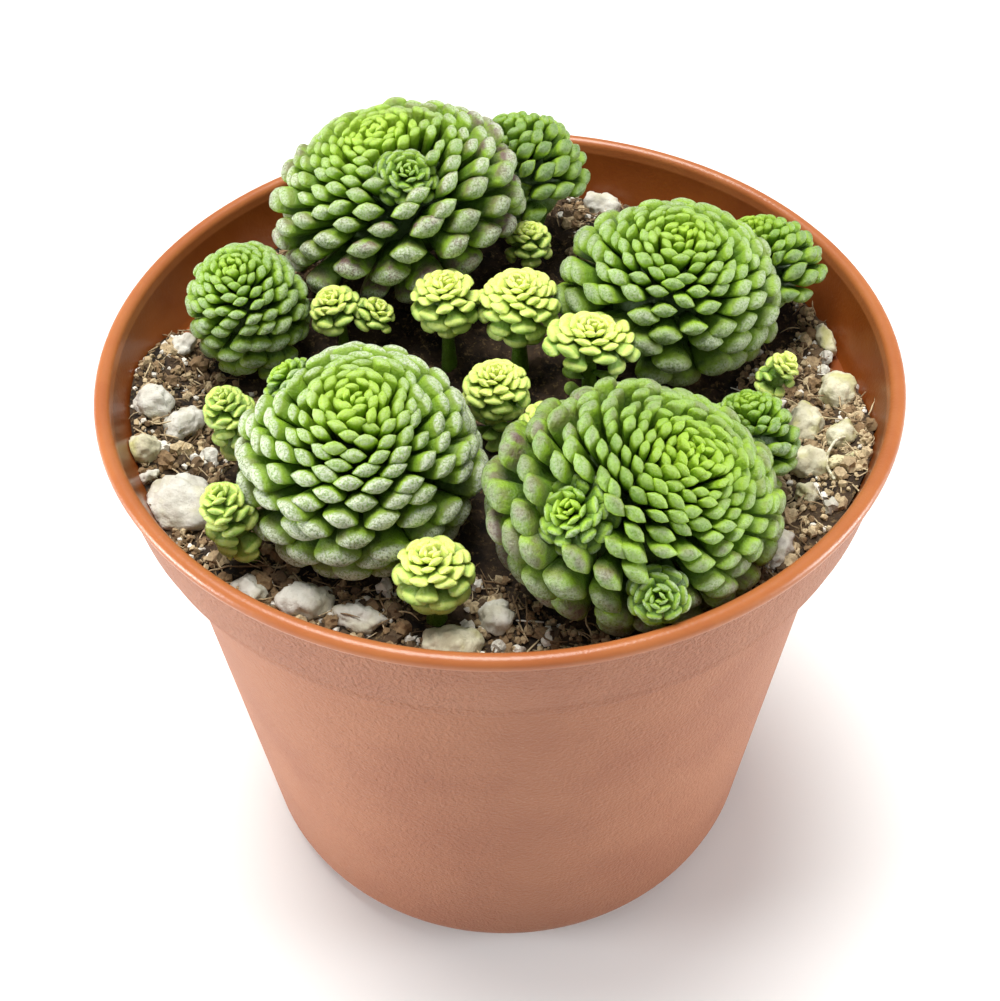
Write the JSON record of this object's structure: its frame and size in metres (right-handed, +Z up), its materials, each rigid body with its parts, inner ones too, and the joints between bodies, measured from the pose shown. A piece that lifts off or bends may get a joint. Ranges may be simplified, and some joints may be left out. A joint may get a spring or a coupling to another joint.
{
  "type": "potted many-leaved monanthes",
  "caption": "Clump of small domed succulent rosettes of club-shaped leaves in gritty soil, in a round tapered plastic pot with a banded rim.",
  "frame": {"origin": "centre of the pot's flat base, on the surface that it stands on", "axes": "+Z up along the pot's axis, -Y towards the viewer, +X to the viewer's right"},
  "size_m": [0.055, 0.055, 0.0564],
  "materials": {
    "pot_plastic": "matte salmon-terracotta plastic with a fine grain outside, glossier orange-brown lip and inside",
    "soil": "dark brown fibrous peat with beige fibres and fine pale grains",
    "grit": "chalky off-white lumps, some tinted yellow-green",
    "leaf": "fleshy green, lime at the centre, with a whitish rough sheen and a purple-grey tint on old tips",
    "young_leaf": "fleshy lime green with a faint pale rough sheen"
  },
  "bodies": {
    "root": {"pot": "pot_plastic", "soil": "soil", "grit_1": "grit", "grit_2": "grit", "grit_3": "grit", "grit_4": "grit", "grit_5": "grit", "grit_6": "grit", "grit_7": "grit", "grit_8": "grit", "grit_9": "grit", "grit_10": "grit", "grit_11": "grit", "grit_12": "grit", "grit_13": "grit", "grit_14": "grit", "grit_15": "grit", "grit_16": "grit", "grit_17": "grit", "grit_18": "grit", "grit_19": "grit", "grit_20": "grit", "rosette_back_left": "leaf", "rosette_back": "leaf", "rosette_left": "leaf", "rosette_front_left": "leaf", "rosette_front_right": "leaf", "rosette_right": "leaf", "rosette_far_right": "leaf", "rosette_right_edge": "leaf", "offset_twin": "young_leaf", "offset_middle_left": "young_leaf", "offset_middle": "young_leaf", "offset_back": "young_leaf", "offset_stalked": "young_leaf", "offset_centre": "young_leaf", "offset_right_of_centre": "young_leaf", "offset_front": "young_leaf", "offset_front_left": "young_leaf", "offset_left": "young_leaf", "offset_right": "young_leaf"}
  },
  "joints": []
}
